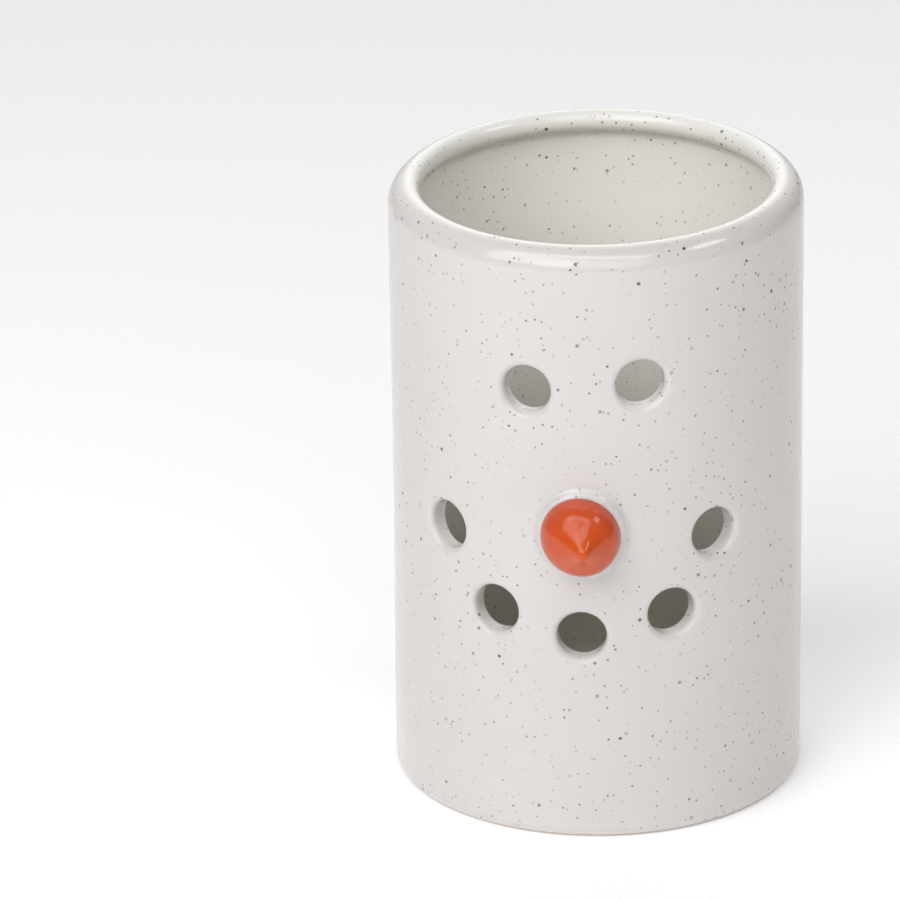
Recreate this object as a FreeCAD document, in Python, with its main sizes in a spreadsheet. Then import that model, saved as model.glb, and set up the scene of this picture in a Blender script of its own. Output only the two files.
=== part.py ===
"""A snowman tealight lantern: a pierced stoneware cylinder with a stuck-on carrot nose, and a tealight.

Millimetres, +Z up. The origin is at the middle of the foot, on the surface the lantern stands on,
and the face looks along -Y. Angles of the holes are measured round the Z axis from -Y towards +X.
"""

import FreeCAD, Part
import math
import os

import Sketcher

V = FreeCAD.Vector

# ---------------------------------------------------------------- driving dimensions
SIZES = {
    # vessel
    "outer_radius": 45.0,
    "overall_height": 138.0,
    "wall_thickness": 4.6,
    "mouth_radius": 38.0,
    "bead_radius": 2.5,
    "bead_blend_radius": 2.5,
    "shoulder_radius": 5.5,
    "floor_level": 4.5,
    "floor_corner_radius": 5.0,
    "foot_edge_radius": 2.6,
    "foot_inner_radius": 36.0,
    "foot_recess": 0.6,
    # pierced holes
    "hole_radius": 5.35,
    "hole_outer_round": 1.5,
    "hole_inner_round": 0.4,
    "eye_left_angle": -15.5,
    "eye_left_level": 103.6,
    "eye_right_angle": 16.7,
    "eye_right_level": 105.4,
    "smile_far_left_angle": -42.5,
    "smile_far_left_level": 67.9,
    "smile_left_angle": -25.4,
    "smile_left_level": 51.7,
    "smile_middle_angle": -0.1,
    "smile_middle_level": 47.6,
    "smile_right_angle": 25.7,
    "smile_right_level": 52.0,
    "smile_far_right_angle": 38.9,
    "smile_far_right_level": 68.7,
    # nose and the boss that it sits on
    "nose_level": 71.7,
    "boss_radius": 9.2,
    "boss_height": 1.2,
    "boss_root_radius": 1.1,
    "nose_length": 11.3,
    "nose_base_radius": 8.8,
    "nose_bulb_radius": 8.1,
    "nose_flank_radius": 30.0,
    "nose_tip_radius": 2.0,
    # tealight
    "cup_radius": 18.8,
    "cup_height": 11.0,
    "cup_sheet": 0.3,
    "cup_corner_radius": 1.2,
    "cup_lip_radius": 19.3,
    "cup_lip_depth": 0.8,
    "wax_headroom": 2.2,
    "wick_radius": 0.8,
    "wick_above_wax": 3.4,
    "sustainer_radius": 7.0,
    "sustainer_sheet": 0.25,
    "sustainer_neck_radius": 1.3,
    "sustainer_neck_height": 3.0,
}

HOLES = (
    "eye_left",
    "eye_right",
    "smile_far_left",
    "smile_left",
    "smile_middle",
    "smile_right",
    "smile_far_right",
)

doc = FreeCAD.newDocument("snowman_tealight_lantern")


# ---------------------------------------------------------------- helpers
def make_sheet():
    """The spreadsheet that every sketch and feature reads."""
    sheet = doc.addObject("Spreadsheet::Sheet", "Sizes")
    for row, (alias, value) in enumerate(SIZES.items(), start=1):
        sheet.set(f"A{row}", alias)
        sheet.set(f"B{row}", str(value))
        sheet.setAlias(f"B{row}", alias)
    doc.recompute()
    return sheet


def new_body(label):
    body = doc.addObject("PartDesign::Body", label)
    body.Label = label
    return body


def origin_plane(body, role):
    return next(item for item in body.Origin.OriginFeatures if item.Role == role)


def new_sketch(body, name, role):
    sketch = body.newObject("Sketcher::SketchObject", name)
    sketch.AttachmentSupport = [(origin_plane(body, role), "")]
    sketch.MapMode = "FlatFace"
    return sketch


def rim_edges(shape, angle, level, distance_from_axis):
    """The names of the edges where the hole at this angle and level breaks a wall of that radius."""
    turn = math.radians(angle)
    start = V(0, 0, level)
    along = V(math.sin(turn), -math.cos(turn), 0)
    found = []
    for number, edge in enumerate(shape.Edges, start=1):
        first, last = edge.ParameterRange
        points = [edge.valueAt(first + (last - first) * share / 8) for share in range(9)]
        on_bore = all(
            abs(p.distanceToLine(start, along) - SIZES["hole_radius"]) < 0.01 and p.dot(along) > 0
            for p in points
        )
        on_wall = all(abs(math.hypot(p.x, p.y) - distance_from_axis) < 0.01 for p in points)
        if on_bore and on_wall:
            found.append(f"Edge{number}")
    return found


def round_edges(body, name, base, edges, alias):
    """A fillet of the sheet's size on these edges of the feature below it."""
    fillet = body.newObject("PartDesign::Fillet", name)
    fillet.Base = (base, edges)
    fillet.Radius = SIZES[alias]
    fillet.setExpression("Radius", f"Sizes.{alias}")
    doc.recompute()
    return fillet


class Outline:
    """A closed outline, drawn piece by piece in the direction of travel.

    Each piece joins the one before it, and the last joins the first. A smooth join is tangent.
    """

    def __init__(self, sketch):
        self.sketch = sketch
        self.pieces = []

    def line(self, start, end, smooth=False):
        shape = Part.LineSegment(V(*start, 0), V(*end, 0))
        self.pieces.append((self.sketch.addGeometry(shape, False), 1, 2, smooth))
        return self.pieces[-1][0]

    def arc(self, centre, radius, first, last, smooth=True):
        """An arc from angle first to angle last, in degrees. It runs clockwise when last is less."""
        low, high = sorted((first, last))
        circle = Part.Circle(V(*centre, 0), V(0, 0, 1), radius)
        shape = Part.ArcOfCircle(circle, math.radians(low), math.radians(high))
        begin, end = (1, 2) if last > first else (2, 1)
        self.pieces.append((self.sketch.addGeometry(shape, False), begin, end, smooth))
        return self.pieces[-1][0]

    def join(self):
        """Joins each piece to the next. smooth says how a piece meets the one before it."""
        for i, (piece, begin, _, smooth) in enumerate(self.pieces):
            before, _, before_end, _ = self.pieces[i - 1]
            kind = "Tangent" if smooth else "Coincident"
            self.rule(kind, before, before_end, piece, begin)

    def rule(self, *constraint):
        return self.sketch.addConstraint(Sketcher.Constraint(*constraint))

    def size(self, name, expression, *constraint):
        """A named dimension that follows the sheet."""
        number = self.rule(*constraint)
        self.sketch.renameConstraint(number, name)
        self.sketch.setExpression(f"Constraints.{name}", expression)


# ---------------------------------------------------------------- vessel
def vessel_outline(body):
    """The half section of the pot, from the axis under the floor, round the wall and back."""
    s = SIZES
    outer = s["outer_radius"]
    inner = outer - s["wall_thickness"]
    top = s["overall_height"]
    foot = s["foot_inner_radius"]
    recess = s["foot_recess"]
    edge = s["foot_edge_radius"]
    bead = s["bead_radius"]
    blend = s["bead_blend_radius"]
    shoulder = s["shoulder_radius"]
    corner = s["floor_corner_radius"]
    level = s["floor_level"]

    bead_x = s["mouth_radius"] + bead
    bead_z = top - bead
    shoulder_x = outer - shoulder
    across = bead_x - shoulder_x
    rise = math.sqrt((shoulder - bead) ** 2 - across**2)
    shoulder_z = bead_z - rise
    lean = math.degrees(math.atan2(rise, across))
    blend_x = inner - blend
    drop = math.sqrt((bead + blend) ** 2 - (bead_x - blend_x) ** 2)
    blend_z = bead_z - drop
    turn = math.degrees(math.atan2(drop, bead_x - blend_x))

    sketch = new_sketch(body, "vessel_section", "XZ_Plane")
    o = Outline(sketch)
    underside = o.line((0, recess), (foot - recess, recess))
    step = o.line((foot - recess, recess), (foot, 0))
    foot_ring = o.line((foot, 0), (outer - edge, 0))
    foot_edge = o.arc((outer - edge, edge), edge, -90, 0)
    outer_wall = o.line((outer, edge), (outer, shoulder_z), smooth=True)
    rim_shoulder = o.arc((shoulder_x, shoulder_z), shoulder, 0, lean)
    rim_bead = o.arc((bead_x, bead_z), bead, lean, 180 + turn)
    bead_blend = o.arc((blend_x, blend_z), blend, turn, 0)
    inner_wall = o.line((inner, blend_z), (inner, level + corner), smooth=True)
    floor_corner = o.arc((inner - corner, level + corner), corner, 0, -90)
    floor = o.line((inner - corner, level), (0, level), smooth=True)
    axis = o.line((0, level), (0, recess))
    o.join()

    for flat in (underside, foot_ring, floor):
        o.rule("Horizontal", flat)
    for upright in (outer_wall, inner_wall):
        o.rule("Vertical", upright)
    o.rule("PointOnObject", axis, 1, -2)
    o.rule("PointOnObject", axis, 2, -2)
    o.rule("PointOnObject", foot_ring, 1, -1)
    o.size("recess", "Sizes.foot_recess", "DistanceY", -1, 1, underside, 1, recess)
    o.size("step_run", "Sizes.foot_recess", "DistanceX", step, 1, step, 2, recess)
    o.size("foot_inner", "Sizes.foot_inner_radius", "DistanceX", -1, 1, foot_ring, 1, foot)
    o.size("outer", "Sizes.outer_radius", "DistanceX", -1, 1, outer_wall, 1, outer)
    o.size("foot_edge", "Sizes.foot_edge_radius", "Radius", foot_edge, edge)
    o.size("shoulder", "Sizes.shoulder_radius", "Radius", rim_shoulder, shoulder)
    o.size("bead", "Sizes.bead_radius", "Radius", rim_bead, bead)
    o.size(
        "bead_x",
        "Sizes.mouth_radius + Sizes.bead_radius",
        "DistanceX",
        -1,
        1,
        rim_bead,
        3,
        bead_x,
    )
    o.size(
        "bead_z",
        "Sizes.overall_height - Sizes.bead_radius",
        "DistanceY",
        -1,
        1,
        rim_bead,
        3,
        bead_z,
    )
    o.size("bead_blend", "Sizes.bead_blend_radius", "Radius", bead_blend, blend)
    o.size(
        "inner",
        "Sizes.outer_radius - Sizes.wall_thickness",
        "DistanceX",
        -1,
        1,
        inner_wall,
        1,
        inner,
    )
    o.size("floor_corner", "Sizes.floor_corner_radius", "Radius", floor_corner, corner)
    o.size("floor_level", "Sizes.floor_level", "DistanceY", -1, 1, floor, 2, level)
    return sketch


def turned(body, sketch, name, axis):
    """A full turn of the sketch about one of its own axes."""
    revolution = body.newObject("PartDesign::Revolution", name)
    revolution.Profile = sketch
    revolution.ReferenceAxis = (sketch, [axis])
    revolution.Angle = 360.0
    doc.recompute()
    return revolution


def nose_boss(body):
    """The low round pad of clay that carries the nose, from inside the wall to its flat face."""
    start = SIZES["outer_radius"] - SIZES["wall_thickness"] / 2
    sketch = new_sketch(body, "boss_circle", "XZ_Plane")
    sketch.AttachmentOffset = FreeCAD.Placement(V(0, 0, start), FreeCAD.Rotation())
    sketch.setExpression(
        "AttachmentOffset.Base.z", "Sizes.outer_radius - Sizes.wall_thickness / 2"
    )
    o = Outline(sketch)
    circle = Part.Circle(V(0, SIZES["nose_level"], 0), V(0, 0, 1), SIZES["boss_radius"])
    ring = sketch.addGeometry(circle, False)
    o.rule("PointOnObject", ring, 3, -2)
    o.size("level", "Sizes.nose_level", "DistanceY", -1, 1, ring, 3, SIZES["nose_level"])
    o.size("radius", "Sizes.boss_radius", "Radius", ring, SIZES["boss_radius"])
    doc.recompute()
    pad = body.newObject("PartDesign::Pad", "boss")
    pad.Profile = sketch
    pad.Length = SIZES["wall_thickness"] / 2 + SIZES["boss_height"]
    pad.setExpression("Length", "Sizes.wall_thickness / 2 + Sizes.boss_height")
    doc.recompute()
    return pad


def boss_root_edges(shape):
    """The names of the edges where the boss meets the outside of the wall."""
    found = []
    for number, edge in enumerate(shape.Edges, start=1):
        first, last = edge.ParameterRange
        points = [edge.valueAt(first + (last - first) * share / 8) for share in range(9)]
        on_wall = all(
            abs(math.hypot(p.x, p.y) - SIZES["outer_radius"]) < 0.01 and p.y < 0 for p in points
        )
        on_boss = all(
            abs(math.hypot(p.x, p.z - SIZES["nose_level"]) - SIZES["boss_radius"]) < 0.01
            for p in points
        )
        if on_wall and on_boss:
            found.append(f"Edge{number}")
    return found


def pierce(body, hole):
    """One round hole, punched through the front wall along a radius of the pot."""
    angle = SIZES[f"{hole}_angle"]
    level = SIZES[f"{hole}_level"]
    sketch = new_sketch(body, f"{hole}_circle", "XZ_Plane")
    turn = FreeCAD.Rotation(V(0, 1, 0), angle)
    sketch.AttachmentOffset = FreeCAD.Placement(V(0, 0, 0), turn)
    sketch.setExpression("AttachmentOffset.Rotation.Angle", f"Sizes.{hole}_angle")
    o = Outline(sketch)
    circle = Part.Circle(V(0, level, 0), V(0, 0, 1), SIZES["hole_radius"])
    ring = sketch.addGeometry(circle, False)
    o.rule("PointOnObject", ring, 3, -2)
    o.size("level", f"Sizes.{hole}_level", "DistanceY", -1, 1, ring, 3, level)
    o.size("radius", "Sizes.hole_radius", "Radius", ring, SIZES["hole_radius"])
    doc.recompute()
    before = body.Shape.Volume
    pocket = body.newObject("PartDesign::Pocket", hole)
    pocket.Profile = sketch
    pocket.Type = "ThroughAll"
    pocket.Reversed = True
    doc.recompute()
    removed = before - body.Shape.Volume
    plug = math.pi * SIZES["hole_radius"] ** 2 * SIZES["wall_thickness"]
    if not 0.9 * plug < removed < 1.2 * plug:
        raise RuntimeError(f"{hole} removed {removed:.0f} mm3 and not about {plug:.0f}")
    return pocket


def make_vessel():
    body = new_body("vessel")
    turned(body, vessel_outline(body), "pot", "V_Axis")
    boss = nose_boss(body)
    round_edges(body, "boss_root", boss, boss_root_edges(boss.Shape), "boss_root_radius")
    for hole in HOLES:
        pierce(body, hole)
    outer = SIZES["outer_radius"]
    inner = outer - SIZES["wall_thickness"]
    for name, radius, alias in (
        ("hole_mouths", outer, "hole_outer_round"),
        ("hole_backs", inner, "hole_inner_round"),
    ):
        edges = []
        for hole in HOLES:
            edges += rim_edges(
                body.Shape, SIZES[f"{hole}_angle"], SIZES[f"{hole}_level"], radius
            )
        if len(edges) < len(HOLES):
            raise RuntimeError(f"{name}: only {len(edges)} edges were found")
        round_edges(body, name, body.Tip, edges, alias)
    return body


# ---------------------------------------------------------------- carrot nose
def make_nose():
    """A kiss-shaped clay nose: a full bulb, a slightly hollow flank and a blunt tip.

    Its own frame has the middle of the flat back at the origin, and it points along -Y.
    """
    s = SIZES
    length = s["nose_length"]
    base = s["nose_base_radius"]
    bulb = s["nose_bulb_radius"]
    flank = s["nose_flank_radius"]
    tip = s["nose_tip_radius"]

    bulb_centre = V(0, base - bulb, 0)
    tip_centre = V(tip - length, 0, 0)
    between = tip_centre - bulb_centre
    apart = between.Length
    far, near = bulb + flank, tip + flank
    along = (apart**2 + far**2 - near**2) / (2 * apart)
    aside = math.sqrt(far**2 - along**2)
    unit = between / apart
    flank_centre = bulb_centre + unit * along + V(unit.y, -unit.x, 0) * aside

    def heading(start, end):
        return math.degrees(math.atan2(end.y - start.y, end.x - start.x)) % 360

    bulb_end = heading(bulb_centre, flank_centre)
    tip_start = heading(tip_centre, flank_centre)

    body = new_body("carrot_nose")
    sketch = new_sketch(body, "nose_section", "YZ_Plane")
    o = Outline(sketch)
    back = o.line((0, 0), (0, base))
    bulb_arc = o.arc((bulb_centre.x, bulb_centre.y), bulb, 90, bulb_end, smooth=False)
    flank_arc = o.arc(
        (flank_centre.x, flank_centre.y), flank, bulb_end + 180, tip_start + 180
    )
    tip_arc = o.arc((tip_centre.x, tip_centre.y), tip, tip_start, 180)
    axis = o.line((-length, 0), (0, 0))
    o.join()
    o.rule("PointOnObject", axis, 1, -1)
    o.rule("Coincident", axis, 2, -1, 1)
    o.rule("PointOnObject", back, 2, -2)
    o.rule("PointOnObject", bulb_arc, 3, -2)
    o.rule("PointOnObject", tip_arc, 3, -1)
    o.size("base_radius", "Sizes.nose_base_radius", "DistanceY", back, 1, back, 2, base)
    o.size("bulb", "Sizes.nose_bulb_radius", "Radius", bulb_arc, bulb)
    o.size("flank", "Sizes.nose_flank_radius", "Radius", flank_arc, flank)
    o.size("tip", "Sizes.nose_tip_radius", "Radius", tip_arc, tip)
    o.size("length", "Sizes.nose_length", "DistanceX", axis, 1, axis, 2, length)
    turned(body, sketch, "nose", "H_Axis")
    body.Placement.Base = V(0, -(s["outer_radius"] + s["boss_height"]), s["nose_level"])
    body.setExpression("Placement.Base.y", "-(Sizes.outer_radius + Sizes.boss_height)")
    body.setExpression("Placement.Base.z", "Sizes.nose_level")
    return body


# ---------------------------------------------------------------- tealight
def make_cup():
    """The pressed aluminium cup with its turned-out lip. Its own frame has its underside at Z = 0."""
    s = SIZES
    sheet_gauge = s["cup_sheet"]
    outer = s["cup_radius"]
    inner = outer - sheet_gauge
    corner = s["cup_corner_radius"]
    top = s["cup_height"]
    lip = s["cup_lip_radius"]
    lip_z = top - s["cup_lip_depth"]
    inner_corner = corner - sheet_gauge

    body = new_body("tealight_cup")
    sketch = new_sketch(body, "cup_section", "XZ_Plane")
    o = Outline(sketch)
    underside = o.line((0, 0), (outer - corner, 0))
    outer_arc = o.arc((outer - corner, corner), corner, -90, 0)
    outside = o.line((outer, corner), (outer, lip_z), smooth=True)
    lip_under = o.line((outer, lip_z), (lip, lip_z))
    lip_edge = o.line((lip, lip_z), (lip, top))
    lip_top = o.line((lip, top), (inner, top))
    inside = o.line((inner, top), (inner, corner))
    inner_arc = o.arc((outer - corner, corner), inner_corner, 0, -90)
    floor = o.line((outer - corner, sheet_gauge), (0, sheet_gauge), smooth=True)
    axis = o.line((0, sheet_gauge), (0, 0))
    o.join()
    for flat in (underside, lip_under, lip_top, floor):
        o.rule("Horizontal", flat)
    for upright in (outside, lip_edge, inside):
        o.rule("Vertical", upright)
    o.rule("Coincident", underside, 1, -1, 1)
    o.rule("PointOnObject", axis, 1, -2)
    o.size("corner", "Sizes.cup_corner_radius", "Radius", outer_arc, corner)
    o.size(
        "inner_corner",
        "Sizes.cup_corner_radius - Sizes.cup_sheet",
        "Radius",
        inner_arc,
        inner_corner,
    )
    o.size("outer", "Sizes.cup_radius", "DistanceX", -1, 1, outside, 2, outer)
    o.size("inner", "Sizes.cup_radius - Sizes.cup_sheet", "DistanceX", -1, 1, inside, 1, inner)
    o.size("lip", "Sizes.cup_lip_radius", "DistanceX", -1, 1, lip_edge, 1, lip)
    o.size("top", "Sizes.cup_height", "DistanceY", -1, 1, lip_top, 1, top)
    o.size("lip_depth", "Sizes.cup_lip_depth", "DistanceY", lip_edge, 1, lip_edge, 2, top - lip_z)
    o.size("sheet_gauge", "Sizes.cup_sheet", "DistanceY", -1, 1, floor, 2, sheet_gauge)
    turned(body, sketch, "cup", "V_Axis")
    body.Placement.Base = V(0, 0, s["floor_level"])
    body.setExpression("Placement.Base.z", "Sizes.floor_level")
    return body


def cylinder(name, radius, length, bottom):
    """An upright cylinder on the lantern's axis. Each size is an expression in the sheet's words."""
    rod = doc.addObject("Part::Cylinder", name)
    rod.setExpression("Radius", radius)
    rod.setExpression("Height", length)
    rod.setExpression("Placement.Base.z", bottom)
    return rod


WICK_RADIUS = "Sizes.wick_radius"
CUP_FLOOR = "Sizes.floor_level + Sizes.cup_sheet"
WAX_DEPTH = "Sizes.cup_height - Sizes.cup_sheet - Sizes.wax_headroom"


def cut(label, base, tool):
    result = doc.addObject("Part::Cut", label)
    result.Label = label
    result.Base = base
    result.Tool = tool
    doc.recompute()
    return result


def fuse(name, *parts):
    result = doc.addObject("Part::MultiFuse", name)
    result.Shapes = list(parts)
    result.Refine = True
    doc.recompute()
    return result


def make_sustainer():
    """The small disc under the wax, with a neck that is crimped round the wick."""
    disc = cylinder("disc", "Sizes.sustainer_radius", "Sizes.sustainer_sheet", CUP_FLOOR)
    neck = cylinder(
        "neck", "Sizes.sustainer_neck_radius", "Sizes.sustainer_neck_height", CUP_FLOOR
    )
    bore = cylinder("neck_bore", WICK_RADIUS, "Sizes.sustainer_neck_height", CUP_FLOOR)
    return cut("wick_sustainer", fuse("disc_and_neck", disc, neck), bore)


def make_wick():
    """The cotton wick, from the cup's floor to a little above the wax."""
    wick = cylinder("tealight_wick", WICK_RADIUS, f"{WAX_DEPTH} + Sizes.wick_above_wax", CUP_FLOOR)
    wick.Label = "tealight_wick"
    return wick


def make_wax():
    """The wax fill: it takes the cup's inside, less the sustainer and the wick that stand in it."""
    block = cylinder("wax_block", "Sizes.cup_radius - Sizes.cup_sheet", WAX_DEPTH, CUP_FLOOR)
    doc.recompute()
    lowest = min(
        range(len(block.Shape.Edges)), key=lambda i: block.Shape.Edges[i].BoundBox.ZMax
    )
    corner = SIZES["cup_corner_radius"] - SIZES["cup_sheet"]
    rounded = doc.addObject("Part::Fillet", "wax_rounded")
    rounded.Base = block
    rounded.Edges = [(lowest + 1, corner, corner)]
    doc.recompute()
    disc = cylinder("disc_space", "Sizes.sustainer_radius", "Sizes.sustainer_sheet", CUP_FLOOR)
    neck = cylinder(
        "neck_space", "Sizes.sustainer_neck_radius", "Sizes.sustainer_neck_height", CUP_FLOOR
    )
    wick = cylinder("wick_space", WICK_RADIUS, WAX_DEPTH, CUP_FLOOR)
    return cut("tealight_wax", rounded, fuse("wax_spaces", disc, neck, wick))


# ---------------------------------------------------------------- build, check, write
def check(parts):
    """Stops before anything is written if an object failed or a shape is bad."""
    doc.recompute()
    for item in doc.Objects:
        if "Invalid" in item.State or "Error" in item.State:
            raise RuntimeError(f"{item.Name} is in state {item.State}")
    for part in parts:
        if part.Shape.isNull() or not part.Shape.isValid() or len(part.Shape.Solids) != 1:
            raise RuntimeError(f"{part.Label} isn't one valid solid")


make_sheet()
PARTS = [make_vessel(), make_nose(), make_cup(), make_wax(), make_wick(), make_sustainer()]
check(PARTS)
os.makedirs("parts", exist_ok=True)
for part in PARTS:
    box = part.Shape.BoundBox
    print(
        f"{part.Label}: volume {part.Shape.Volume:.1f} mm3,"
        f" x {box.XMin:.2f}..{box.XMax:.2f}, y {box.YMin:.2f}..{box.YMax:.2f},"
        f" z {box.ZMin:.2f}..{box.ZMax:.2f}"
    )
    part.Shape.exportStep(f"parts/{part.Label}.step")
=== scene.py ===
# %% [markdown]
# # A snowman tealight lantern
# The object is a slip-cast stoneware pot in a white, iron-speckled gloss glaze. Its wall is
# pierced with two eyes and a five-hole smile, and a small carrot nose, glazed orange, is stuck on
# a low boss. A flat tealight lies loose inside it. The pot and the nose are one body, the tealight
# is another.
#
# The CAD frame comes first. It gives the bodies that the pieces ride on, and the sizes that they
# take.

import math

import bmesh
import bpy
import numpy as np
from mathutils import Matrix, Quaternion, Vector


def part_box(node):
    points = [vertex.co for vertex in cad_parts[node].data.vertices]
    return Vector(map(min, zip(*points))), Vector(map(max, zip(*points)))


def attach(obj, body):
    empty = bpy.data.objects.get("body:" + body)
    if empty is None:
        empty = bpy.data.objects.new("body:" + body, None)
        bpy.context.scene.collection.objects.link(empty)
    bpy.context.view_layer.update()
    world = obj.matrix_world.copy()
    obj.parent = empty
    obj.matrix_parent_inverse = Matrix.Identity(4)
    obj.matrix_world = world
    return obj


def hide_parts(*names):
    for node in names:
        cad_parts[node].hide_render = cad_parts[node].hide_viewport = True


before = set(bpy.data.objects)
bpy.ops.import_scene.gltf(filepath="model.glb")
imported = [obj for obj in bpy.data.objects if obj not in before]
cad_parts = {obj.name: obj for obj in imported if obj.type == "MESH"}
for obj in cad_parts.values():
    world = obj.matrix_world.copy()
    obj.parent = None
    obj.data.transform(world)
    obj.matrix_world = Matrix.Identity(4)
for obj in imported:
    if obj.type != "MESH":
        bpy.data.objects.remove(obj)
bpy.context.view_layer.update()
MM = 0.001

# %% [markdown]
# Everything below is a few driving sizes. The outer radius, the height and the places of the boss,
# the nose and the tealight are read from the frame, so they can't drift from it.

# %% Sizes of the pot
vessel_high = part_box("vessel")[1]
OUTER = vessel_high.x
HEIGHT = vessel_high.z
WALL = 4.6 * MM
INNER = OUTER - WALL
MOUTH = 38.0 * MM
BEAD = 2.5 * MM
BEAD_BLEND = 2.5 * MM
SHOULDER = 5.5 * MM
FLOOR_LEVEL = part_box("tealight_cup")[0].z
FLOOR_CORNER = 5.0 * MM
FOOT_EDGE = 2.6 * MM
FOOT_INNER = 36.0 * MM
FOOT_RECESS = 0.6 * MM
print(f"pot: {2 * OUTER / MM:.0f} mm across, {HEIGHT / MM:.0f} mm tall")

# %% Sizes of the holes and the nose
BORE = 5.35 * MM
MOUTH_ROUND = 1.5 * MM
BACK_ROUND = 0.4 * MM
HOLES = {
    "eye_left": (-15.5, 103.6),
    "eye_right": (16.7, 105.4),
    "smile_far_left": (-42.5, 67.9),
    "smile_left": (-25.4, 51.7),
    "smile_middle": (-0.1, 47.6),
    "smile_right": (25.7, 52.0),
    "smile_far_right": (38.9, 68.7),
}
nose_low, nose_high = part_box("carrot_nose")
NOSE_LEVEL = (nose_low.z + nose_high.z) / 2
NOSE_BACK = nose_high.y
NOSE_BASE = nose_high.x
NOSE_LENGTH = nose_high.y - nose_low.y

# %% [markdown]
# ## Helpers
# One function adds a node of any kind to any tree, one turns a web colour into the linear colour
# that the renderer works in, and two small ones turn points into a mesh and a node tree into a
# plain mesh.

# %% Helpers for trees and colours
def add(tree, kind, inputs=None, **settings):
    """Adds a node. inputs maps a socket's name or number to a value or to a socket."""
    node = tree.nodes.new(kind)
    for name, value in settings.items():
        setattr(node, name, value)
    for key, value in (inputs or {}).items():
        if isinstance(value, bpy.types.NodeSocket):
            tree.links.new(value, node.inputs[key])
        else:
            node.inputs[key].default_value = value
    return node


def colour(code):
    """Linear RGBA of an sRGB hex code such as #E6E3DE."""
    parts = [int(code[i : i + 2], 16) / 255 for i in (1, 3, 5)]
    return [c / 12.92 if c <= 0.04045 else ((c + 0.055) / 1.055) ** 2.4 for c in parts] + [1.0]


# %% Helpers for single nodes
def reckon(tree, operation, *values, **settings):
    """A Math node."""
    return add(tree, "ShaderNodeMath", dict(enumerate(values)), operation=operation, **settings)


def reckon_vector(tree, operation, *values):
    """A Vector Math node."""
    return add(tree, "ShaderNodeVectorMath", dict(enumerate(values)), operation=operation)


def wave_noise(tree, where, size, detail):
    """Soft noise whose waves are about as long as the size."""
    return add(tree, "ShaderNodeTexNoise", {"Vector": where, "Scale": 1 / size, "Detail": detail})


def map_range(tree, value, from_low, from_high, to_low, to_high):
    """A value between the first two numbers comes out between the last two."""
    inputs = {"From Min": from_low, "From Max": from_high, "To Min": to_low, "To Max": to_high}
    return add(tree, "ShaderNodeMapRange", {"Value": value, **inputs})


def mix_colours(tree, factor, first, second):
    """The first colour where the factor is 0 and the second where it is 1, on output 2."""
    return add(tree, "ShaderNodeMix", {0: factor, 6: first, 7: second}, data_type="RGBA")


def add_bump(tree, surface, height, strength, distance):
    """Bends the surface's shading by the height, as a shallow relief would."""
    inputs = {"Height": height, "Strength": strength, "Distance": distance}
    relief = add(tree, "ShaderNodeBump", inputs)
    tree.links.new(relief.outputs[0], surface.inputs["Normal"])


# %% Helpers for meshes
def new_object(name, points, edges=(), faces=()):
    mesh = bpy.data.meshes.new(name)
    mesh.from_pydata([tuple(p) for p in points], list(edges), list(faces))
    mesh.update()
    made = bpy.data.objects.new(name, mesh)
    bpy.context.scene.collection.objects.link(made)
    return made


def remove(thing):
    bpy.data.objects.remove(thing, do_unlink=True)


def grow(name, tree, base=None, **inputs):
    """Runs a Geometry Nodes tree and keeps the result as a plain mesh object."""
    holder = base or new_object(name + "_holder", [(0, 0, 0)])
    modifier = holder.modifiers.new("grow", "NODES")
    modifier.node_group = tree
    sockets = {s.name: s.identifier for s in tree.interface.items_tree if s.in_out == "INPUT"}
    for label, value in inputs.items():
        modifier[sockets[label.replace("_", " ")]] = value
    bpy.context.view_layer.update()
    evaluated = holder.evaluated_get(bpy.context.evaluated_depsgraph_get())
    mesh = bpy.data.meshes.new_from_object(evaluated)
    holder.modifiers.remove(modifier)
    remove(holder)
    mesh.name = name
    made = bpy.data.objects.new(name, mesh)
    bpy.context.scene.collection.objects.link(made)
    return made


def face_outwards(thing):
    """Merges doubles, turns every face outwards and shades the piece smooth."""
    bm = bmesh.new()
    bm.from_mesh(thing.data)
    bmesh.ops.remove_doubles(bm, verts=bm.verts, dist=0.002 * MM)
    bmesh.ops.recalc_face_normals(bm, faces=bm.faces)
    for face in bm.faces:
        face.smooth = True
    open_edges = sum(len(edge.link_faces) != 2 for edge in bm.edges)
    bm.to_mesh(thing.data)
    bm.free()
    triangles = sum(len(p.vertices) - 2 for p in thing.data.polygons)
    print(f"{thing.name}: {triangles} triangles, {open_edges} open edges")


def positions(thing):
    flat = np.empty(len(thing.data.vertices) * 3, np.float32)
    thing.data.vertices.foreach_get("co", flat)
    return flat.reshape(-1, 3).astype(float)


def set_positions(thing, points):
    thing.data.vertices.foreach_set("co", points.astype(np.float32).ravel())
    thing.data.update()


# %% [markdown]
# ## Outlines
# A thrown or pressed piece is an outline turned round an axis. An outline here is a list of
# (radius, height) points, and its rounded stretches come from one arc function.

# %% Outline tools
def arc(centre, radius, start, end, count):
    """Points along an arc from start to end, in degrees, without its first point."""
    angles = np.radians(np.linspace(start, end, count + 1)[1:])
    return [(centre[0] + radius * math.cos(a), centre[1] + radius * math.sin(a)) for a in angles]


def steps(start, end, count):
    """Points along a straight line, without its first point."""
    return [
        (start[0] + (end[0] - start[0]) * k / count, start[1] + (end[1] - start[1]) * k / count)
        for k in range(1, count + 1)
    ]


# %% [markdown]
# ## The lathe
# A potter's wheel makes round pieces from one outline. This Geometry Nodes tree does the same: a
# flat grid has a column for each step round the axis and a row for each point of the outline, and
# each grid point is moved to where its outline point goes when it is turned. Flutes press a ripple
# into the wall, as a die does in foil. Each row's number is kept on the mesh, for work that comes
# later.

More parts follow.
